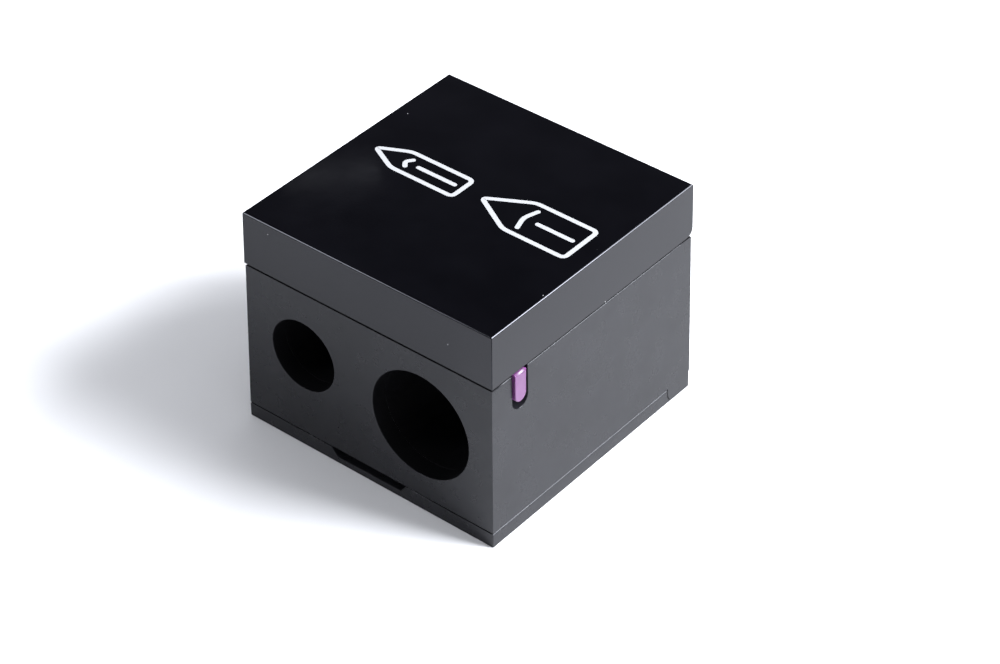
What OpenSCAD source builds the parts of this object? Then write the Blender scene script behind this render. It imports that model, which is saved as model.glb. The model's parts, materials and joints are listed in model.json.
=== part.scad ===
// Box sharpener for a slim and a thick pencil. The housing is hinged to the base it stands
// on and is closed by a hinged lid. Millimetres, front towards -Y, up is +Z, and the origin
// is the middle of the base's underside.

/* [Box] */
// Side of the lid's square top
lid_side = 32; // [32:0.5:34]
// Height of the closed box
box_h = 26.2; // [26:0.2:28]
// Height of the seam between housing and lid
seam_z = 19.8; // [19.8:0.1:20.4]
// How far the lid's sides lean out between its top and the seam
lid_draft = 0.1; // [0.05:0.05:0.2]
// How far the housing's sides lean out between the seam and the floor
housing_draft = 0.36; // [0.1:0.02:0.5]
// How far the lid stands proud of the housing at the seam
lid_overhang = 0.08; // [0.02:0.02:0.12]
// Half the inside width of the housing
cavity_hw = 14.2; // [14.1:0.1:14.4]
// Gap between housing and lid
seam_gap = 0.26; // [0.06:0.02:0.3]
// Gap between housing and base
base_gap = 0.1; // [0.06:0.02:0.14]

/* [Lid] */
// Thickness of the lid's side walls at the seam
lid_wall = 1.1; // [1:0.1:1.3]
// Thickness of the lid's top
lid_top_t = 1.4; // [1:0.1:2]
// Height of the rim on the housing that locates the lid
rim_h = 1.25; // [0.8:0.05:1.6]
// Gap between that rim and the lid's walls
rim_gap = 0.1; // [0.06:0.02:0.14]

/* [Base] */
// Thickness of the base plate
base_t = 1.75; // [1.5:0.05:2]
// How far the base plate's sides stand back from the housing's
base_inset = 0; // [0:0.05:0.2]
// Bevel along the base plate's lower edges
base_bevel = 0.05; // [0.05:0.05:0.4]
// Width of the finger notch at the plate's top
notch_w_top = 10; // [8:0.5:12]
// Width of the finger notch at its floor
notch_w_floor = 8.4; // [6:0.2:10]
// Height of the finger notch
notch_h = 0.95; // [0.6:0.05:1.1]
// Depth of the finger notch from the front
notch_d = 1.3; // [1:0.1:1.6]

/* [Slim pencil station] */
// Bore's centre, sideways
slim_x = -8.5; // [-8.7:0.1:-8.3]
// Bore's centre, above the floor
slim_z = 11.75; // [11:0.05:12]
// Diameter of the hole in the front wall and of the guide behind it
slim_d = 8.3; // [7.9:0.1:8.5]
// Half-angle of the cutting cone
slim_angle = 15; // [14:0.5:17]
// Width of the blade
slim_blade_w = 6.2; // [5.6:0.1:6.4]

/* [Thick pencil station] */
// Bore's centre, sideways
thick_x = 6.95; // [6.8:0.05:7]
// Bore's centre, above the floor
thick_z = 10.8; // [10.6:0.05:11]
// Diameter of the hole in the front wall and of the guide behind it
thick_d = 12.4; // [11.9:0.1:12.6]
// Half-angle of the cutting cone
thick_angle = 19; // [18:0.5:21]
// Width of the blade
thick_blade_w = 6.9; // [6.2:0.1:7]

/* [Cutter block] */
// Length of each guide between the front wall and the cone
guide_l = 4.2; // [4:0.1:4.4]
// Wall around the bores and cones
cone_wall = 0.9; // [0.7:0.1:1]
// Radius left at each cone's tip
tip_r = 0.6; // [0.4:0.1:0.8]
// How far the blade's edge reaches inside the cone
bite = 0.3; // [0.2:0.05:0.4]
// Width of the slot where shavings leave
slot_w = 1.1; // [0.8:0.1:1.4]
// Height of the rail beside the slot
rail_h = 1.2; // [0.8:0.1:1.6]
// Thickness of the blades
blade_t = 0.6; // [0.4:0.05:0.8]
// Diameter of the blade screws' heads
screw_head_d = 3.4; // [3:0.1:3.8]
// Diameter of the blade screws' shanks
screw_d = 1.8; // [1.6:0.1:2]

/* [Cleaning stick] */
// Centre of the stick, front to back
stick_y = -11.8; // [-11.9:0.05:-11.7]
// Width of the stick's thumb tab
tab_w = 1.65; // [1.5:0.05:1.7]
// How far the tab's middle is ahead of the stick's
tab_shift = 0.25; // [0:0.05:0.3]
// Height of the thumb tab
tab_h = 3.6; // [3.3:0.1:3.9]
// Width of the notch that the tab sits in
tab_notch_w = 2.4; // [2.4:0.05:2.6]
// Height of the notch's lowest point
tab_notch_z = 15.1; // [14.8:0.05:15.4]
// Length of the stick inside the box
stick_l = 24; // [20:0.5:26]

/* [Hinges] */
// Diameter of both hinge pins
pin_d = 0.8; // [0.6:0.1:1]
// Radial clearance where a pin turns
pin_play = 0.06; // [0.03:0.01:0.1]
// Radial clearance where a pin is pressed in
pin_seat = 0.01; // [0.01:0.005:0.02]
// Distance of the lid's hinge axis from its rear face and lower edge
lid_axis_inset = 0.8; // [0.75:0.05:0.9]
// Width of each housing knuckle in the lid's rear wall
knuckle_w = 5; // [4:0.5:6]
// Distance of those knuckles' centres from the middle
knuckle_x = 7.5; // [6:0.5:9]
// Distance of the base's hinge axis from the housing's rear face
base_axis_inset = 1.93; // [1.8:0.01:2]
// Height of the base's hinge axis
base_axis_z = 1.45; // [1.4:0.05:1.5]
// Radius of the housing's ears around that axis
ear_r = 1.95; // [1.8:0.05:2]
// Half the width of the base's hinge tongue
tongue_hw = 13.85; // [13.5:0.05:13.9]

/* [Hidden] */
$fn = 96;
reach = 40;                       // long enough to cut right through the box
over = 0.5;                       // overlap of united pieces and overrun of cuts

// Outline of lid and housing
lid_hw_top = lid_side / 2;
lid_hw_seam = lid_hw_top + lid_draft;
housing_hw_seam = lid_hw_seam - lid_overhang;
housing_top = seam_z - seam_gap / 2;
lid_bottom = seam_z + seam_gap / 2;
housing_bottom = base_t + base_gap;
lid_cavity_hw = lid_hw_seam - lid_wall;
lid_ceiling = box_h - lid_top_t;
rim_hw = lid_cavity_hw - rim_gap;
rim_top = housing_top + rim_h;
function housing_hw(z) = housing_hw_seam + housing_draft * (seam_z - z) / seam_z;
side_face = housing_hw(0);

// Lid hinge
lid_axis_y = lid_hw_seam - lid_axis_inset;
lid_axis_z = lid_bottom + lid_axis_inset;
barrel_r = lid_axis_inset - 0.05;
knuckle_r = barrel_r - 0.05;
knuckle_gap = 0.15;
knuckle_room = lid_axis_inset + 0.2;  // how far above the axis the housing's knuckles swing
rear_bevel = 0.1;                 // bevel on the housing's rear edge, where the lid folds over
lid_pin_hw = 14;
rim_rear_y = 13.6;                // the rim stops ahead of the hinge barrel
bead_r = 0.25;
bead_z = rim_top - 0.45;
bead_proud = 0.06;

// Base hinge
base_hw = housing_hw(base_t) - base_inset;
base_axis_y = side_face - base_axis_inset;
tongue_r = 1;
tongue_gap = 0.15;
ear_gap = 0.08;
ear_floor_z = 0.06;               // the ears hang clear of the floor
ear_step_z = 2.1;                 // below this the ears' rear stands back
ear_rear_y = 16.2;
ear_bevel = 0.1;
rear_edge_z = base_axis_z + tongue_r + 0.15;
base_pin_hw = 15.2;
skirt_hw = cavity_hw - 0.15;      // low rib that centres the base in the housing
skirt_t = 0.8;
skirt_h = 1.1;
skirt_corner = 10.8;              // the rib leaves the front corners to the block's ledges
skirt_rear_y = 12;

// Cutter block
front_y = -cavity_hw;
cone_y = front_y + guide_l;
bar_hw = cavity_hw - 0.05;
bar_low_z = 3.5;
bar_top_z = seam_z - 0.3;
ledge = 2.6;
tooth = [0.35, 1.2, 0.2];         // snap tooth above each end of the bar
end_wall = 1.1;
blade_start = 0.1;
slot_depth = 1.4;
edge_t = 0.06;                    // thickness left at a blade's edge
edge_w = 1.4;                     // width of a blade's ground bevel
seat_margin = 0.1;
screw_hole_play = 0.2;
screw_l = 3.4;
screw_head_h = 1;
screw_bevel = 0.3;
screw_slot = [0.55, 0.5];         // width and depth

// Cleaning stick
tab_lid_gap = 0.1;
tab_top_z = lid_bottom - tab_lid_gap;
tab_low_z = tab_top_z - tab_h;
tab_y = stick_y - tab_shift;
shaft = [1.6, 1.4];               // width and height
shaft_play = 0.15;
shaft_top_z = bar_top_z - 0.1;
shaft_low_z = shaft_top_z - shaft[1];
tab_inner_x = cavity_hw + 0.1;
point_l = 5;                      // taper at the stick's scraping end
point_h = 0.4;

// A pencil station: bore centre x and z, bore radius, cone half-angle and blade width
slim = [slim_x, slim_z, slim_d / 2, slim_angle, slim_blade_w];
thick = [thick_x, thick_z, thick_d / 2, thick_angle, thick_blade_w];
function cone_l(s) = (s[2] - tip_r) / tan(s[3]);
function blade_l(s) = cone_l(s) / cos(s[3]);
function screw_at(s) = [s[4] * 0.66, blade_l(s) * 0.56];

// A box between the low and high ends of its three spans
module block(x, y, z) {
    translate([x[0], y[0], z[0]]) cube([x[1] - x[0], y[1] - y[0], z[1] - z[0]]);
}

// A round bar along X over the span x, centred on (y, z)
module x_bar(r, x, y, z) {
    translate([x[0], y, z]) rotate([0, 90, 0]) cylinder(r = r, h = x[1] - x[0]);
}

// An outline in (y, z) drawn along X over the span x
module x_prism(x, points) {
    translate([x[0], 0, 0]) rotate([90, 0, 90]) linear_extrude(height = x[1] - x[0]) polygon(points);
}

// A square block whose four sides lean evenly from one half-width to the other
module drafted_block(hw_low, hw_high, z_low, z_high) {
    outline = [[-hw_low, z_low], [hw_low, z_low], [hw_high, z_high], [-hw_high, z_high]];
    intersection() {
        x_prism([-reach, reach], outline);
        rotate([0, 0, 90]) x_prism([-reach, reach], outline);
    }
}

// Moves its children onto a station's blade seat: X across the blade, Y down the cone
module on_seat(s) {
    translate([s[0], cone_y, s[1] + s[2]]) rotate([-s[3], 0, 0]) translate([0, 0, -bite]) children();
}

// The base plate stands on the floor. Its rear tongue turns between the housing's ears.
module base_plate() {
    color("#33343a") difference() {
        union() {
            difference() {
                union() {
                    drafted_block(base_hw - base_bevel, base_hw, 0, base_bevel);
                    block([-base_hw, base_hw], [-base_hw, base_hw], [base_bevel, base_t]);
                }
                for (x = [[-reach, -tongue_hw], [tongue_hw, reach]])
                    x_bar(ear_r + ear_gap, x, base_axis_y, base_axis_z);
                block([-reach, reach], [base_axis_y, reach], [-over, reach]);
            }
            x_bar(tongue_r, [-tongue_hw, tongue_hw], base_axis_y, base_axis_z);
            base_skirt();
        }
        finger_notch();
        x_bar(pin_d / 2 + pin_seat, [-reach, reach], base_axis_y, base_axis_z);
    }
}

// Low ribs inside the housing's walls. The front one has a bead that clicks under the wall.
module base_skirt() {
    inner = skirt_hw - skirt_t;
    z = [base_t - over, base_t + skirt_h];
    block([-skirt_corner, skirt_corner], [-skirt_hw, -inner], z);
    x_bar(bead_r, [-skirt_corner, skirt_corner], bead_r - bead_proud - skirt_hw, z[1] - bead_r - bead_proud);
    for (x = [-skirt_hw, inner]) block([x, x + skirt_t], [-skirt_corner, skirt_rear_y], z);
}

// Recess under the housing's front wall where a fingernail pulls the base open
module finger_notch() {
    floor_z = base_t - notch_h;
    lean = (notch_w_top - notch_w_floor) / 2 / notch_h;
    top_hw = notch_w_top / 2 + lean * over;
    translate([0, notch_d - base_hw, 0]) rotate([90, 0, 0]) linear_extrude(height = reach)
        polygon([[-notch_w_floor / 2, floor_z], [notch_w_floor / 2, floor_z],
                 [top_hw, base_t + over], [-top_hw, base_t + over]]);
}

module base_hinge_pin() {
    color("#b9bcc2") x_bar(pin_d / 2, [-base_pin_hw, base_pin_hw], base_axis_y, base_axis_z);
}

// The housing: four walls with two pencil holes, a notch for the stick's tab, ears for the
// base's hinge and knuckles for the lid's
module body_shell() {
    color("#3c3d43") difference() {
        union() {
            housing_walls();
            lid_rim();
            block_ledges();
            for (side = [-1, 1]) lid_knuckle(side * knuckle_x);
        }
        for (s = [slim, thick]) translate([s[0], 0, s[1]]) rotate([90, 0, 0])
            cylinder(r = s[2], h = reach);
        tab_notch();
        x_bar(pin_d / 2 + pin_seat, [-lid_pin_hw, lid_pin_hw], lid_axis_y, lid_axis_z);
        x_bar(pin_d / 2 + pin_play, [-base_pin_hw - pin_play, base_pin_hw + pin_play],
              base_axis_y, base_axis_z);
    }
}

module housing_walls() {
    ear_gap_hw = tongue_hw + tongue_gap;
    rear = housing_hw(housing_top);
    difference() {
        drafted_block(housing_hw(ear_floor_z), housing_hw(housing_top), ear_floor_z, housing_top);
        block([-cavity_hw, cavity_hw], [-cavity_hw, cavity_hw], [-over, reach]);
        difference() {
            block([-reach, reach], [-reach, base_axis_y], [-over, housing_bottom]);
            x_bar(ear_r, [-reach - over, reach + over], base_axis_y, base_axis_z);
        }
        block([-ear_gap_hw, ear_gap_hw], [0, reach], [-over, rear_edge_z]);
        block([-reach, reach], [ear_rear_y, reach], [-over, ear_step_z]);
        x_prism([-reach, reach], [[ear_rear_y - ear_bevel, ear_floor_z], [ear_rear_y + over, -over],
                                  [ear_rear_y + over, ear_floor_z + ear_bevel + over]]);
        x_prism([-reach, reach], [[rear - rear_bevel, housing_top], [rear + over, housing_top + over],
                                  [rear + over, housing_top - rear_bevel - over]]);
    }
}

// Rim inside the lid, open behind for the hinge and cut away over the stick's tab
module lid_rim() {
    z = [housing_top - over, rim_top];
    difference() {
        union() {
            block([-rim_hw, rim_hw], [-rim_hw, rim_rear_y], z);
            x_bar(bead_r, [-knuckle_x, knuckle_x], bead_r - bead_proud - rim_hw, bead_z);
        }
        block([-cavity_hw, cavity_hw], [-cavity_hw, reach], [z[0] - over, reach]);
        block([0, reach], [stick_y - tab_notch_w, stick_y + tab_notch_w], [z[0] - over, reach]);
    }
}

// Ledges under the ends of the cutter block's bar, and teeth that snap over them
module block_ledges() {
    for (side = [-1, 1]) mirror([side < 0 ? 1 : 0, 0, 0]) {
        block([cavity_hw - ledge, cavity_hw + over], [front_y - over, front_y + ledge],
              [housing_bottom, bar_low_z]);
        block([cavity_hw - tooth[0], cavity_hw + over], [front_y - over, front_y + tooth[1] - over],
              [bar_top_z, bar_top_z + tooth[2]]);
    }
}

// One knuckle that stands on the housing's rear wall and carries the lid's pin
module lid_knuckle(x) {
    span = [x - knuckle_w / 2, x + knuckle_w / 2];
    x_bar(knuckle_r, span, lid_axis_y, lid_axis_z);
    block(span, [cavity_hw, lid_axis_y + knuckle_r], [housing_top - rear_bevel - over, lid_axis_z]);
}

// Notch through the right wall, round below and open at the seam
module tab_notch() {
    notch_r = tab_notch_w / 2;
    x = [cavity_hw - over, reach];
    block(x, [stick_y - notch_r, stick_y + notch_r], [tab_notch_z + notch_r, reach]);
    x_bar(notch_r, x, stick_y, tab_notch_z + notch_r);
}

module lid_hinge_pin() {
    color("#b9bcc2") x_bar(pin_d / 2, [-lid_pin_hw, lid_pin_hw], lid_axis_y, lid_axis_z);
}

// The lid: a shallow box whose rear wall ends in a round barrel, cut for the housing's knuckles
module lid() {
    room = knuckle_w / 2 + knuckle_gap;
    play = pin_d / 2 + pin_play;
    color("#17181c") difference() {
        union() {
            difference() {
                lid_outline();
                block([-lid_cavity_hw, lid_cavity_hw], [-lid_cavity_hw, lid_cavity_hw],
                      [-over, lid_ceiling]);
                block([-reach, reach], [lid_axis_y, reach], [0, lid_axis_z]);
            }
            intersection() {
                x_bar(barrel_r, [-reach, reach], lid_axis_y, lid_axis_z);
                lid_outline();
            }
        }
        for (side = [-1, 1]) block([side * knuckle_x - room, side * knuckle_x + room],
            [lid_axis_y - lid_axis_inset - over, reach], [0, lid_axis_z + knuckle_room]);
        x_bar(play, [-lid_pin_hw - play, lid_pin_hw + play], lid_axis_y, lid_axis_z);
        x_bar(bead_r, [-knuckle_x - over, knuckle_x + over], bead_r - bead_proud - rim_gap / 2 - rim_hw, bead_z);
    }
}

module lid_outline() {
    drafted_block(lid_hw_seam, lid_hw_top, lid_bottom, box_h);
}

// The block behind the front wall: a bar with both bores, and a wedge round each cone
module cutter_block() {
    color("#26272b") difference() {
        union() {
            block([-bar_hw, bar_hw], [front_y, cone_y], [bar_low_z, bar_top_z]);
            for (s = [slim, thick]) {
                side = s[2] + cone_wall;
                wedge(s, [-side, s[4] + seat_margin], 0);
                wedge(s, [-side, -slot_w], rail_h);
            }
        }
        for (s = [slim, thick]) {
            pencil_bore(s);
            on_seat(s) block([-slot_w, 0], [0, blade_l(s)], [-slot_depth, reach]);
            on_seat(s) translate([screw_at(s)[0], screw_at(s)[1], -screw_l])
                cylinder(r = screw_d / 2, h = reach);
        }
        stick_groove();
    }
}

// Wedge over a station's cone, from its seat down to its underside, raised by rise
module wedge(s, x, rise) {
    end_y = cone_y + cone_l(s) + end_wall;
    drop = (end_y - cone_y) * tan(s[3]);
    top = s[1] + s[2] - bite / cos(s[3]) + rise / cos(s[3]);
    low = s[1] - s[2] - cone_wall;
    translate([s[0], 0, 0])
        x_prism(x, [[cone_y - over, low], [end_y, low + drop], [end_y, top - drop], [cone_y, top],
                    [cone_y - over, top]]);
}

// A station's bore: a straight guide and the cutting cone behind it
module pencil_bore(s) {
    translate([s[0], 0, s[1]]) rotate([-90, 0, 0]) rotate_extrude()
        polygon([[0, front_y - over], [s[2], front_y - over], [s[2], cone_y],
                 [tip_r, cone_y + cone_l(s)], [0, cone_y + cone_l(s)]]);
}

// Channel across the bar's top that the stick slides in
module stick_groove() {
    hw = shaft[0] / 2 + shaft_play;
    block([tab_inner_x - stick_l - shaft_play, reach], [stick_y - hw, stick_y + hw],
          [shaft_low_z - shaft_play, reach]);
}

// A flat blade, ground to an edge along the slot and held by one screw
module blade(s) {
    on_seat(s) difference() {
        translate([0, blade_l(s), 0]) rotate([90, 0, 0]) linear_extrude(height = blade_l(s) - blade_start)
            polygon([[0, 0], [s[4], 0], [s[4], blade_t], [edge_w, blade_t], [0, edge_t]]);
        translate([screw_at(s)[0], screw_at(s)[1], -over])
            cylinder(r = screw_d / 2 + screw_hole_play, h = blade_t + 2 * over);
    }
}

// A slotted screw through the blade into the block
module blade_screw(s) {
    on_seat(s) translate([screw_at(s)[0], screw_at(s)[1], 0]) difference() {
        rotate_extrude() polygon([
            [0, -screw_l], [screw_d / 2, -screw_l], [screw_d / 2, blade_t], [screw_head_d / 2, blade_t],
            [screw_head_d / 2, blade_t + screw_head_h - screw_bevel],
            [screw_head_d / 2 - screw_bevel, blade_t + screw_head_h], [0, blade_t + screw_head_h]]);
        rotate([0, 0, s[3]]) block([-screw_slot[0] / 2, screw_slot[0] / 2], [-screw_head_d, screw_head_d],
            [blade_t + screw_head_h - screw_slot[1], reach]);
    }
}

module small_blade() { color("#c9ccd1") blade(slim); }
module large_blade() { color("#c9ccd1") blade(thick); }
module small_blade_screw() { color("#a9adb3") blade_screw(slim); }
module large_blade_screw() { color("#a9adb3") blade_screw(thick); }

// The stick that clears the blades: a thumb tab and a shaft that ends in a thin scraper
module cleaning_stick() {
    tab_r = tab_w / 2;
    tip_x = tab_inner_x - stick_l;
    x = [tab_inner_x, side_face];
    color("#b98bc9") {
        block(x, [tab_y - tab_r, tab_y + tab_r], [tab_low_z + tab_r, tab_top_z]);
        x_bar(tab_r, x, tab_y, tab_low_z + tab_r);
        translate([0, stick_y + shaft[0] / 2, 0]) rotate([90, 0, 0]) linear_extrude(height = shaft[0])
            polygon([[tip_x, shaft_top_z - point_h], [tip_x + point_l, shaft_low_z],
                     [tab_inner_x + over, shaft_low_z], [tab_inner_x + over, shaft_top_z],
                     [tip_x, shaft_top_z]]);
    }
}

base_plate();
base_hinge_pin();
body_shell();
cutter_block();
small_blade();
small_blade_screw();
large_blade();
large_blade_screw();
cleaning_stick();
lid_hinge_pin();
lid();
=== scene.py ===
"""Looks of a box sharpener for a slim and a thick cosmetic pencil. Metres, front towards -Y."""
import json
import math

import bmesh
import bpy
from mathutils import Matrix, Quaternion, Vector


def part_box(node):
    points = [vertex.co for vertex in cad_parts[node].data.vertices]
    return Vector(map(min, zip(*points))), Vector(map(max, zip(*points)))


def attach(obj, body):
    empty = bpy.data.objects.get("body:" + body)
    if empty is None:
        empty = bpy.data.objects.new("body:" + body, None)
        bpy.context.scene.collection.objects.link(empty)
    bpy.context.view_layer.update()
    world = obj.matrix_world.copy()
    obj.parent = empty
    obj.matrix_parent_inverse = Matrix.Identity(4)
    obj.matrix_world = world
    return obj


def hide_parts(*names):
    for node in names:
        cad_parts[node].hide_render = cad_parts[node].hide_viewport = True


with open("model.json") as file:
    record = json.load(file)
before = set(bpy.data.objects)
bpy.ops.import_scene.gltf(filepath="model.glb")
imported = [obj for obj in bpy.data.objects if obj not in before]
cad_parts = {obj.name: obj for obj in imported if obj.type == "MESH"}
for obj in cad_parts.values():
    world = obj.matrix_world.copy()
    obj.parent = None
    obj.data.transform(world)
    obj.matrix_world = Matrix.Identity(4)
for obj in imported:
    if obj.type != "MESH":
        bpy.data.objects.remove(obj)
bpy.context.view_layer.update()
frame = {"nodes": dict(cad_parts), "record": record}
boxes = {name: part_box(name) for name in frame["nodes"]}

MM = 0.001

# Camera: it looks at a point inside the box from the right, the front and above
CAMERA_TARGET = Vector((5.22, -1.58, 12.7)) * MM
CAMERA_DISTANCE = 300 * MM
CAMERA_NEAR = 10 * MM
CAMERA_AZIMUTH = math.radians(39.27)
CAMERA_ELEVATION = math.radians(38.43)
CAMERA_ROLL = math.radians(-0.19)
CAMERA_LENS = 106.57

# Studio
LAMP_COLOUR = (0.93, 0.955, 1.0)
FLOOR_RADIUS = 3.0
# Shades of the surroundings by height, from 0 at the horizon to 1 straight up: a pale band
# round the horizon, and dark above it so that the glossy lid stays black
SURROUNDINGS = [(0.16, (0.85, 0.86, 0.9)), (0.5, (0.14, 0.14, 0.17)), (0.66, (0.012, 0.012, 0.015))]

# Materials
SATIN_IOR = 1.31
POLISHED_IOR = 1.33
STICK_IOR = 1.65
MIX_START, MIX_END = 0.35, 0.65     # noise values between which one colour turns into another
DUST_CELLS = 420                    # cells per metre that may each hold a speck of dust
DUST_CORE, DUST_RIM = 0.016, 0.026  # a speck's full and outer radius, in cells

# Mesh clean-up and rounding of the moulded edges
WELD = 1e-7
FLAT_ANGLE = math.radians(0.5)      # faces closer than this are one flat face
SHARP_ANGLE = math.radians(25)      # edges sharper than this are rounded
PARALLEL = 0.9                      # share of an edge's length that lies along its axis at least
ROOM = 0.42                         # share of a neighbouring edge that one rounding may use
THINNEST = 0.008 * MM               # roundings smaller than this are left out
ROUND_STEPS = 4
ROUND_PROFILE = 0.32                # between a flat bevel, 0.25, and a quarter circle, 0.5

# Width of each rounding
CORNER_ROUND = 0.06 * MM            # upright corners of the box
LID_TOP_ROUND = 0.17 * MM
LIP_ROUND = 0.02 * MM               # the lid's lower edge
FRONT_SEAM_ROUND = 0.02 * MM        # the housing's top edge in front and at the rear
SIDE_SEAM_ROUND = 0.16 * MM         # top edges of housing and base at the sides: they catch light
SEAM_ROUND = 0.045 * MM             # the other outer edges, such as those along the base's seam
HOLE_ROUND = 0.06 * MM              # rims of the pencil holes
EAR_ROUND = 0.03 * MM               # edges between the base plate and the housing's ears
INSIDE_ROUND = 0.05 * MM
KEEN_ROUND = 0.02 * MM              # the blades' edges
TAB_TOP_ROUND = 0.3 * MM
TAB_ROUND = 0.08 * MM

# Where an edge or face counts as part of a region
SKIN = 0.75 * MM                    # how deep below the outer faces an edge still counts as outside
EDGE_BAND = 0.05 * MM               # how far from a face or rim an edge still counts as its own
SEAM_BAND = 0.3 * MM                # how far below the lid the housing's top edges lie at most
SIDE_SEAM_END = 2.4 * MM            # how far from the rear the housing's wide rounding stops
EAR_WIDTH = 2 * MM                  # how far inside the base pin's ends the ears' notches reach
EAR_DEPTH = 3 * MM                  # how far in front of that pin they reach
WALL_TILT = 0.5                     # a hole's wall has less than this of its normal along Y

# Print on the lid
INK_STROKE = 0.52 * MM
INK_RISE = 0.012 * MM               # how far the ink stands above the lid
INK_SINK = 0.01 * MM                # how far its underside lies inside the lid
INK_CORNER = 0.6 * MM
INK_ROOM = 1.05 * MM                # from the middle of one stroke to the next
FACET_START = 2.2 * INK_ROOM        # from a pencil's shoulder to the line along its body
ARC_STEPS = 8
SLIM_POINT = Vector((-13, 0.8)) * MM     # where each printed pencil's point is
THICK_POINT = Vector((1, 0.8)) * MM

# Centre x, centre z and radius of each pencil hole in the housing's front
HOLES = [(mount["pos_m"][0], mount["pos_m"][2], mount["dims"]["r_mm"] * MM)
         for mount in frame["record"]["mounts"] if mount["kind"] == "bore"]


# ---------------------------------------------------------------- camera, stage and light

def aim(location, target):
    """Rotation of a camera or lamp at location that looks at target."""
    return (Vector(target) - Vector(location)).to_track_quat("-Z", "Y")


def make_camera():
    side = math.cos(CAMERA_ELEVATION)
    back = Vector((math.sin(CAMERA_AZIMUTH) * side, -math.cos(CAMERA_AZIMUTH) * side,
                   math.sin(CAMERA_ELEVATION)))
    camera = bpy.data.objects.new("camera", bpy.data.cameras.new("camera"))
    camera.data.lens = CAMERA_LENS
    camera.data.clip_start = CAMERA_NEAR
    camera.location = CAMERA_TARGET + back * CAMERA_DISTANCE
    camera.rotation_mode = "QUATERNION"
    camera.rotation_quaternion = (aim(camera.location, CAMERA_TARGET)
                                  @ Quaternion((0, 0, 1), CAMERA_ROLL))
    bpy.context.scene.collection.objects.link(camera)
    bpy.context.scene.camera = camera


def softbox(name, direction, distance, size, radiance):
    """A flat lamp that shines on the box from one direction, with the brightness of its face."""
    width, height = size
    data = bpy.data.lights.new(name, "AREA")
    data.shape = "RECTANGLE"
    data.size = width
    data.size_y = height
    data.energy = radiance * math.pi * width * height
    data.color = LAMP_COLOUR
    lamp = bpy.data.objects.new(name, data)
    lamp.location = Vector(direction).normalized() * distance
    lamp.rotation_mode = "QUATERNION"
    lamp.rotation_quaternion = aim(lamp.location, (0, 0, 0))
    bpy.context.scene.collection.objects.link(lamp)


def make_lights():
    """A key lamp at the right, a weak one overhead, and small ones whose reflections draw the
    bright lines along the edges and the faint streak in the lid."""
    softbox("overhead", (0.1, 0.15, 1), distance=0.6, size=(0.75, 0.75), radiance=1.3)
    softbox("key", (0.68, 0.39, 0.62), distance=0.75, size=(0.36, 0.36), radiance=39)
    softbox("right_edges", (0.572, 0.67, 0.472), distance=0.75, size=(0.2, 0.2), radiance=26)
    softbox("front_edges", (-0.572, -0.582, 0.578), distance=0.7, size=(0.15, 0.15), radiance=16)
    softbox("far_strip", (-0.565, 0.561, 0.606), distance=0.52, size=(0.026, 0.006), radiance=0.4)


def make_world():
    world = bpy.data.worlds.new("studio")
    bpy.context.scene.world = world
    world.use_nodes = True
    nodes, links = world.node_tree.nodes, world.node_tree.links
    nodes.clear()
    coordinates = nodes.new("ShaderNodeTexCoord")
    split = nodes.new("ShaderNodeSeparateXYZ")
    background = nodes.new("ShaderNodeBackground")
    output = nodes.new("ShaderNodeOutputWorld")
    links.new(coordinates.outputs["Generated"], split.inputs[0])
    links.new(colours(nodes, links, split.outputs["Z"], SURROUNDINGS), background.inputs["Color"])
    links.new(background.outputs[0], output.inputs["Surface"])


def make_floor():
    bm = bmesh.new()
    bmesh.ops.create_circle(bm, cap_ends=True, segments=96, radius=FLOOR_RADIUS)
    mesh = bpy.data.meshes.new("floor")
    bm.to_mesh(mesh)
    bm.free()
    floor = bpy.data.objects.new("floor", mesh)
    bpy.context.scene.collection.objects.link(floor)
    nodes, links, shader = new_material(floor, "pale_table")
    noise = noise_value(nodes, links, scale=40, detail=3)
    colour = two_colours(nodes, links, noise, dark=(0.86, 0.86, 0.87), light=(0.89, 0.89, 0.90))
    links.new(colour, shader.inputs["Base Color"])
    shader.inputs["Roughness"].default_value = 0.8
    shader.inputs["Specular IOR Level"].default_value = 0.1


# ---------------------------------------------------------------- materials

def new_material(piece, name):
    """Gives the piece a node material, shared by name, and returns its nodes, links and shader."""
    material = bpy.data.materials.get(name) or bpy.data.materials.new(name)
    material.use_nodes = True
    piece.data.materials.clear()
    piece.data.materials.append(material)
    nodes = material.node_tree.nodes
    return nodes, material.node_tree.links, nodes["Principled BSDF"]


def main_shader(piece):
    return piece.data.materials[0].node_tree.nodes["Principled BSDF"]


def noise_value(nodes, links, scale, detail, stretch=(1, 1, 1)):
    """Noise in the object's own metres, stretched along an axis where its stretch is under 1."""
    coordinates = nodes.new("ShaderNodeTexCoord")
    mapping = nodes.new("ShaderNodeMapping")
    mapping.inputs["Scale"].default_value = stretch
    noise = nodes.new("ShaderNodeTexNoise")
    noise.inputs["Scale"].default_value = scale
    noise.inputs["Detail"].default_value = detail
    links.new(coordinates.outputs["Object"], mapping.inputs["Vector"])
    links.new(mapping.outputs["Vector"], noise.inputs["Vector"])
    return noise.outputs["Fac"]


def spread(nodes, links, value, low, high, start=0.3, end=0.7):
    """Maps a noise value between start and end onto low to high."""
    remap = nodes.new("ShaderNodeMapRange")
    remap.inputs["From Min"].default_value = start
    remap.inputs["From Max"].default_value = end
    remap.inputs["To Min"].default_value = low
    remap.inputs["To Max"].default_value = high
    links.new(value, remap.inputs["Value"])
    return remap.outputs["Result"]


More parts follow.
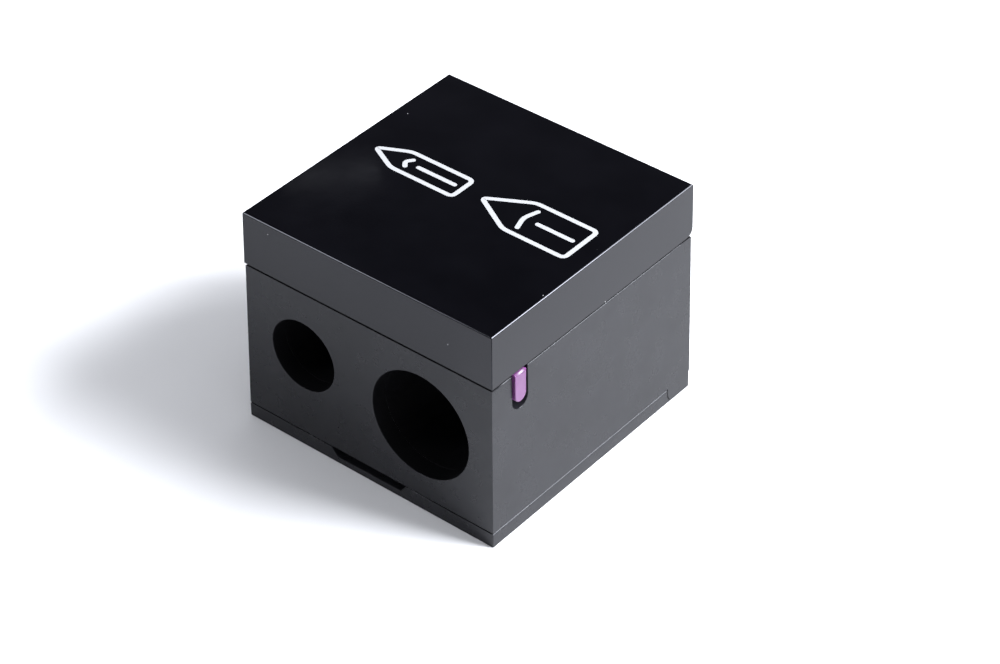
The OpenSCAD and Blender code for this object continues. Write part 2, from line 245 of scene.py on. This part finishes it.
def colours(nodes, links, value, stops):
    """Colours that change with a value. Each stop is a value and its colour, in rising order."""
    ramp = nodes.new("ShaderNodeValToRGB")
    elements = ramp.color_ramp.elements
    for index, stop in ((0, stops[0]), (1, stops[-1])):
        elements[index].position = stop[0]
        elements[index].color = (*stop[1], 1)
    for place, colour in stops[1:-1]:
        elements.new(place).color = (*colour, 1)
    links.new(value, ramp.inputs["Fac"])
    return ramp.outputs["Color"]


def two_colours(nodes, links, value, dark, light):
    return colours(nodes, links, value, [(MIX_START, dark), (MIX_END, light)])


def bump(nodes, links, shader, height, depth):
    """Raises the surface by a height value, depth metres from lowest to highest."""
    node = nodes.new("ShaderNodeBump")
    node.inputs["Strength"].default_value = 1.0
    node.inputs["Distance"].default_value = depth
    links.new(height, node.inputs["Height"])
    links.new(node.outputs["Normal"], shader.inputs["Normal"])


def moulded_plastic(piece, name, dark, light, roughness, grain_scale, grain_depth):
    """Moulded plastic: slight colour drift, uneven gloss and a fine grain from the mould."""
    nodes, links, shader = new_material(piece, name)
    if shader.inputs["Base Color"].is_linked:
        return
    drift = noise_value(nodes, links, scale=180, detail=3)
    links.new(two_colours(nodes, links, drift, dark, light), shader.inputs["Base Color"])
    handling = noise_value(nodes, links, scale=420, detail=4)
    links.new(spread(nodes, links, handling, *roughness), shader.inputs["Roughness"])
    grain = noise_value(nodes, links, grain_scale, detail=2)
    bump(nodes, links, shader, grain, grain_depth)
    shader.inputs["IOR"].default_value = SATIN_IOR


def brushed_steel(piece, name, dark, light, roughness, stretch):
    """Steel with fine grinding lines along the axes whose stretch is small."""
    nodes, links, shader = new_material(piece, name)
    if shader.inputs["Base Color"].is_linked:
        return
    shader.inputs["Metallic"].default_value = 1.0
    lines = noise_value(nodes, links, scale=9000, detail=3, stretch=stretch)
    links.new(two_colours(nodes, links, lines, dark, light), shader.inputs["Base Color"])
    stains = noise_value(nodes, links, scale=600, detail=4)
    links.new(spread(nodes, links, stains, *roughness), shader.inputs["Roughness"])
    bump(nodes, links, shader, lines, depth=0.002 * MM)


def housing_plastic(piece):
    moulded_plastic(piece, "satin_black_plastic", dark=(0.007, 0.007, 0.0085),
                    light=(0.009, 0.009, 0.011), roughness=(0.24, 0.34),
                    grain_scale=7000, grain_depth=0.0005 * MM)
    main_shader(piece).inputs["Specular Tint"].default_value = (0.92, 0.94, 1, 1)


def lid_plastic(piece):
    """Polished black plastic with a few specks of dust on it."""
    nodes, links, shader = new_material(piece, "polished_black_plastic")
    drift = noise_value(nodes, links, scale=150, detail=2)
    plastic = two_colours(nodes, links, drift, dark=(0.0012, 0.0012, 0.0018),
                          light=(0.0018, 0.0018, 0.0026))
    coordinates = nodes.new("ShaderNodeTexCoord")
    cells = nodes.new("ShaderNodeTexVoronoi")
    cells.inputs["Scale"].default_value = DUST_CELLS
    links.new(coordinates.outputs["Object"], cells.inputs["Vector"])
    speck = spread(nodes, links, cells.outputs["Distance"], low=1, high=0,
                   start=DUST_CORE, end=DUST_RIM)
    mix = nodes.new("ShaderNodeMix")
    mix.data_type = "RGBA"
    mix.inputs["B"].default_value = (0.35, 0.35, 0.36, 1)
    links.new(speck, mix.inputs["Factor"])
    links.new(plastic, mix.inputs["A"])
    links.new(mix.outputs["Result"], shader.inputs["Base Color"])
    handling = noise_value(nodes, links, scale=300, detail=4)
    links.new(spread(nodes, links, handling, low=0.04, high=0.08), shader.inputs["Roughness"])
    waves = noise_value(nodes, links, scale=260, detail=2)
    bump(nodes, links, shader, waves, depth=0.002 * MM)
    shader.inputs["IOR"].default_value = POLISHED_IOR
    shader.inputs["Specular Tint"].default_value = (0.87, 0.88, 1, 1)


def insert_plastic(piece):
    # the insert's own matt black; the housing's hole walls and the faces under the lid reuse it as
    # painted shade
    moulded_plastic(piece, "matt_black_plastic_and_painted_shade", dark=(0.003, 0.003, 0.0036),
                    light=(0.0045, 0.0045, 0.0052), roughness=(0.5, 0.65),
                    grain_scale=5000, grain_depth=0.004 * MM)
    main_shader(piece).inputs["Specular IOR Level"].default_value = 0.12


def stick_plastic(piece):
    moulded_plastic(piece, "purple_plastic", dark=(0.1, 0.026, 0.107), light=(0.113, 0.03, 0.121),
                    roughness=(0.34, 0.44), grain_scale=5000, grain_depth=0.001 * MM)
    shader = main_shader(piece)
    shader.inputs["IOR"].default_value = STICK_IOR
    shader.inputs["Subsurface Weight"].default_value = 0.4
    shader.inputs["Subsurface Radius"].default_value = (1.0, 0.3, 1.0)
    shader.inputs["Subsurface Scale"].default_value = 0.8 * MM


def blade_steel(piece):
    brushed_steel(piece, "ground_steel", dark=(0.50, 0.51, 0.53), light=(0.66, 0.67, 0.69),
                  roughness=(0.22, 0.34), stretch=(1, 0.05, 0.05))


def screw_steel(piece):
    brushed_steel(piece, "zinc_plated_steel", dark=(0.46, 0.47, 0.49), light=(0.58, 0.59, 0.61),
                  roughness=(0.28, 0.42), stretch=(1, 1, 1))


def pin_steel(piece):
    brushed_steel(piece, "drawn_steel", dark=(0.48, 0.49, 0.51), light=(0.62, 0.63, 0.65),
                  roughness=(0.25, 0.35), stretch=(0.03, 1, 1))


def print_ink(piece):
    nodes, links, shader = new_material(piece, "white_ink")
    cover = noise_value(nodes, links, scale=5000, detail=3)
    colour = two_colours(nodes, links, cover, dark=(0.37, 0.375, 0.385),
                         light=(0.41, 0.415, 0.425))
    links.new(colour, shader.inputs["Base Color"])
    links.new(spread(nodes, links, cover, low=0.35, high=0.5), shader.inputs["Roughness"])
    bump(nodes, links, shader, cover, depth=0.002 * MM)


# ---------------------------------------------------------------- rounded pieces

def welded_mesh(node):
    """The node's mesh with its vertices joined and its flat faces whole."""
    source = frame["nodes"][node].data
    mesh = bpy.data.meshes.new(node + "_rounded")
    mesh.from_pydata([v.co for v in source.vertices], [], [p.vertices[:] for p in source.polygons])
    bm = bmesh.new()
    bm.from_mesh(mesh)
    bmesh.ops.remove_doubles(bm, verts=bm.verts, dist=WELD)
    bmesh.ops.dissolve_limit(bm, angle_limit=FLAT_ANGLE, verts=bm.verts, edges=bm.edges)
    bmesh.ops.recalc_face_normals(bm, faces=bm.faces)
    return mesh, bm


def is_sharp(edge):
    return len(edge.link_faces) == 2 and edge.calc_face_angle(0) > SHARP_ANGLE


def heading(edge, vertex):
    return (edge.other_vert(vertex).co - vertex.co).normalized()


def runs_on(edge, other, vertex):
    """True where the other edge carries on from this one without a corner."""
    return heading(edge, vertex).dot(heading(other, vertex)) < -math.cos(SHARP_ANGLE)


def free_room(edge):
    """The widest rounding that the edges beside this one leave space for."""
    room = [ROOM * other.calc_length() for vertex in edge.verts for other in vertex.link_edges
            if other is not edge and not runs_on(edge, other, vertex)]
    return min(room, default=0)


def split_long_edges(bm, y):
    """Splits each sharp edge along Y that crosses this y, so that its rounding can change there."""
    for edge in [e for e in bm.edges if is_sharp(e)]:
        front, rear = sorted(edge.verts, key=lambda vertex: vertex.co.y)
        length = rear.co.y - front.co.y
        if length > PARALLEL * edge.calc_length() and front.co.y < y < rear.co.y:
            bmesh.utils.edge_split(edge, front, (y - front.co.y) / length)


def chains(wishes):
    """Groups edges that want the same rounding into lines and curves without a corner."""
    left = set(wishes)
    while left:
        chain, ends = [], [left.pop()]
        while ends:
            edge = ends.pop()
            chain.append(edge)
            followers = [other for vertex in edge.verts for other in vertex.link_edges
                         if other in left and wishes[other] == wishes[edge]
                         and runs_on(edge, other, vertex)]
            left.difference_update(followers)
            ends.extend(followers)
        yield chain


def rounded(node, body, material, width_of, split_y=None):
    """A copy of a CAD node whose sharp edges are rounded. width_of gives an edge's rounding."""
    mesh, bm = welded_mesh(node)
    if split_y is not None:
        split_long_edges(bm, split_y)
    weight = bm.edges.layers.float.new("bevel_weight_edge")
    widths = {}
    for chain in chains({e: width_of(e) for e in bm.edges if is_sharp(e)}):
        width = min(min(width_of(e), free_room(e)) for e in chain)
        for edge in chain:
            widths[edge] = width
    widest = max(widths.values())
    for edge, width in widths.items():
        edge[weight] = width / widest if width > THINNEST else 0
        edge.smooth = width > THINNEST
    for face in bm.faces:
        face.smooth = True
    bm.to_mesh(mesh)
    bm.free()
    piece = bpy.data.objects.new(node + "_shell", mesh)
    bpy.context.scene.collection.objects.link(piece)
    bevel = piece.modifiers.new("rounding", "BEVEL")
    bevel.limit_method = "WEIGHT"
    bevel.width = widest
    bevel.segments = ROUND_STEPS
    bevel.profile = ROUND_PROFILE
    bevel.use_clamp_overlap = False
    normals = piece.modifiers.new("flat_faces", "WEIGHTED_NORMAL")
    normals.keep_sharp = True
    material(piece)
    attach(piece, body)
    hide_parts(node)
    return piece


def middle(edge):
    return (edge.verts[0].co + edge.verts[1].co) / 2


def is_upright(edge):
    line = edge.verts[0].co - edge.verts[1].co
    return abs(line.z) > PARALLEL * line.length


def outside(point, node):
    """True for a point in the skin of the node's four sides."""
    low, high = boxes[node]
    return (min(point.x - low.x, high.x - point.x) < SKIN
            or min(point.y - low.y, high.y - point.y) < SKIN)


def hole_gap(x, z):
    """Distance from a point of the front to the nearest hole's rim, below 0 inside the hole."""
    return min(math.hypot(x - hole_x, z - hole_z) - radius for hole_x, hole_z, radius in HOLES)


def lid_edge(edge):
    point = middle(edge)
    if not outside(point, "lid"):
        return INSIDE_ROUND
    if boxes["lid"][1].z - point.z < EDGE_BAND:
        return LID_TOP_ROUND
    return CORNER_ROUND if is_upright(edge) else LIP_ROUND


def housing_edge(edge):
    point = middle(edge)
    low, high = boxes["body_shell"]
    if not outside(point, "body_shell"):
        return INSIDE_ROUND
    if point.z < boxes["base_plate"][1].z and point.y > 0:
        return EAR_ROUND
    if is_upright(edge) and high.x - abs(point.x) < SKIN and high.y - abs(point.y) < SKIN:
        return CORNER_ROUND
    if 0 < boxes["lid"][0].z - point.z < SEAM_BAND:
        at_side = abs(point.x) > abs(point.y) and point.y < high.y - SIDE_SEAM_END
        return SIDE_SEAM_ROUND if at_side else FRONT_SEAM_ROUND
    at_hole = point.y < low.y + SKIN and abs(hole_gap(point.x, point.z)) < EDGE_BAND
    return HOLE_ROUND if at_hole else SEAM_ROUND


def base_edge(edge):
    point = middle(edge)
    if not outside(point, "base_plate"):
        return INSIDE_ROUND
    pin_low, pin_high = boxes["base_hinge_pin"]
    if abs(point.x) > pin_high.x - EAR_WIDTH and point.y > pin_low.y - EAR_DEPTH:
        return EAR_ROUND
    if is_upright(edge):
        return CORNER_ROUND
    at_side = boxes["base_plate"][1].x - abs(point.x) < EDGE_BAND and point.z > SKIN
    return SIDE_SEAM_ROUND if at_side else SEAM_ROUND


def stick_edge(edge):
    point = middle(edge)
    high = boxes["cleaning_stick"][1]
    if high.x - point.x > EDGE_BAND:
        return INSIDE_ROUND
    return TAB_TOP_ROUND if high.z - point.z < EDGE_BAND else TAB_ROUND


def fine_edge(edge):
    return INSIDE_ROUND


def keen_edge(edge):
    return KEEN_ROUND


def paint_shade_inside(housing):
    """The pencil holes and all that the lid covers take the insert's darker, matt black: painted
    shade in the holes and in the gap under the lid.
    """
    housing.data.materials.append(bpy.data.materials["matt_black_plastic_and_painted_shade"])
    covered = boxes["lid"][0].z - SEAM_BAND
    for face in housing.data.polygons:
        x, y, z = face.center
        # faces in a hole or under the lid get the darker matt black as painted shade
        in_hole = y < 0 and abs(face.normal.y) < WALL_TILT and hole_gap(x, z) < EDGE_BAND
        if in_hole or z > covered:
            face.material_index = 1


def make_pieces():
    """Every CAD node gets its rounded copy. The insert's material is made before the housing's
    inside takes it too, as painted shade in its holes and under the lid."""
    housing = rounded("body_shell", "housing", housing_plastic, housing_edge,
                      split_y=boxes["body_shell"][1].y - SIDE_SEAM_END)
    rounded("base_plate", "base", housing_plastic, base_edge)
    rounded("lid", "lid", lid_plastic, lid_edge)
    rounded("cleaning_stick", "stick", stick_plastic, stick_edge)
    rounded("cutter_block", "housing", insert_plastic, fine_edge)
    paint_shade_inside(housing)
    for name in ("small_blade", "large_blade"):
        rounded(name, "housing", blade_steel, keen_edge)
    for name in ("small_blade_screw", "large_blade_screw"):
        rounded(name, "housing", screw_steel, fine_edge)
    rounded("lid_hinge_pin", "housing", pin_steel, fine_edge)
    rounded("base_hinge_pin", "base", pin_steel, fine_edge)


# ---------------------------------------------------------------- print on the lid

def soft_corners(corners, closed):
    """The line through the corners, with each corner turned in a short curve."""
    points = []
    for index, corner in enumerate(corners):
        if not closed and index in (0, len(corners) - 1):
            points.append(corner)
            continue
        before = corners[index - 1] - corner
        after = corners[(index + 1) % len(corners)] - corner
        cut = min(INK_CORNER, before.length / 2, after.length / 2)
        start, end = corner + before.normalized() * cut, corner + after.normalized() * cut
        for step in range(ARC_STEPS + 1):
            t = step / ARC_STEPS
            points.append((1 - t) ** 2 * start + 2 * t * (1 - t) * corner + t ** 2 * end)
    return points


def round_cap(end, neighbour):
    """Points and half widths of the half circle that closes a stroke, outwards from its end."""
    half = INK_STROKE / 2
    outwards = (end - neighbour).normalized()
    turns = [math.pi / 2 * step / ARC_STEPS for step in range(1, ARC_STEPS)]
    return [(end + outwards * half * math.sin(turn), half * math.cos(turn)) for turn in turns]


def add_stroke(bm, corners, closed, z):
    """A flat raised stroke of ink along the corners, from below the lid's surface to above it."""
    points = soft_corners([Vector(corner) for corner in corners], closed)
    line = [(point, INK_STROKE / 2) for point in points]
    if not closed:
        line = round_cap(*points[:2])[::-1] + line + round_cap(points[-1], points[-2])
    count = len(line)
    low, high = z - INK_SINK, z + INK_RISE
    rings = []
    for index, (point, half) in enumerate(line):
        before = line[index - 1][0] if closed or index else point
        after = line[(index + 1) % count][0] if closed or index < count - 1 else point
        along = (after - before).normalized()
        across = Vector((-along.y, along.x)) * half
        rings.append([bm.verts.new((*(point + across * side), height))
                      for side, height in ((1, low), (-1, low), (-1, high), (1, high))])
    for index in range(count if closed else count - 1):
        ring, following = rings[index], rings[(index + 1) % count]
        for side in range(4):
            bm.faces.new((ring[side], ring[side - 1], following[side - 1], following[side]))
    if not closed:
        bm.faces.new(rings[0])
        bm.faces.new(rings[-1][::-1])


def pencil_strokes(tip, length, width, taper):
    """Strokes of a pencil that lies along X: its outline, the bared wood's edge and a facet."""
    half = width / 2
    shoulder, end = tip.x + taper, tip.x + length
    outline = [(tip.x, tip.y), (shoulder, tip.y - half), (end, tip.y - half),
               (end, tip.y + half), (shoulder, tip.y + half)]
    reach = half - INK_ROOM
    wood = [(shoulder + INK_ROOM, tip.y - reach), (shoulder + INK_ROOM / 2, tip.y),
            (shoulder + INK_ROOM, tip.y + reach)]
    facet = [(shoulder + FACET_START, tip.y), (end - INK_ROOM, tip.y)]
    return [(outline, True), (wood, False), (facet, False)]


def make_print():
    """Two pencils, slim and thick, in the order of the holes below."""
    bm = bmesh.new()
    z = boxes["lid"][1].z
    slim = pencil_strokes(SLIM_POINT, length=11.5 * MM, width=3.4 * MM, taper=3.4 * MM)
    thick = pencil_strokes(THICK_POINT, length=12.5 * MM, width=5.4 * MM, taper=4.8 * MM)
    for corners, closed in slim + thick:
        add_stroke(bm, corners, closed, z)
    bmesh.ops.recalc_face_normals(bm, faces=bm.faces)
    mesh = bpy.data.meshes.new("lid_print")
    bm.to_mesh(mesh)
    bm.free()
    piece = bpy.data.objects.new("lid_print", mesh)
    bpy.context.scene.collection.objects.link(piece)
    print_ink(piece)
    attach(piece, "lid")


make_camera()
make_world()
make_lights()
make_floor()
make_pieces()
make_print()

bpy.context.scene.view_settings.view_transform = "Standard"
